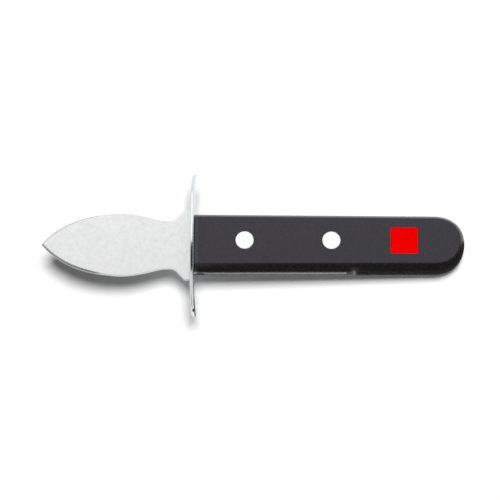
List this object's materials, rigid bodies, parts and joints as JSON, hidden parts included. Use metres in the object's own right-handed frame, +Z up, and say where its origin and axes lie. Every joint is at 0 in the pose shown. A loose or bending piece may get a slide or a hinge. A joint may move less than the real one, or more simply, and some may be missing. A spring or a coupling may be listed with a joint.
{
  "type": "oyster knife",
  "caption": "Oyster knife with a short pointed steel blade bevelled on both edges, an oval hand guard and a riveted black moulded handle with a plain red tile, lying at rest on its side",
  "frame": {"origin": "on the surface the knife lies on, under the middle of its box", "axes": "X runs from the point towards the butt, Y across the blade, Z up; the knife leans 5.1 degrees about Y, because it lies on the rim of its guard and the lower edge of its butt"},
  "size_m": [0.1706, 0.0594, 0.0339],
  "materials": {
    "blade_steel": "satin, ground across the width",
    "guard_steel": "polished",
    "rivet_steel": "polished flush",
    "handle_plastic": "satin",
    "tile_plastic": "gloss"
  },
  "bodies": {
    "root": {"blade": "blade_steel", "guard": "guard_steel", "handle": "handle_plastic", "handle_tile": "tile_plastic", "front_rivet_male": "rivet_steel", "front_rivet_female": "rivet_steel", "rear_rivet_male": "rivet_steel", "rear_rivet_female": "rivet_steel"}
  },
  "joints": []
}
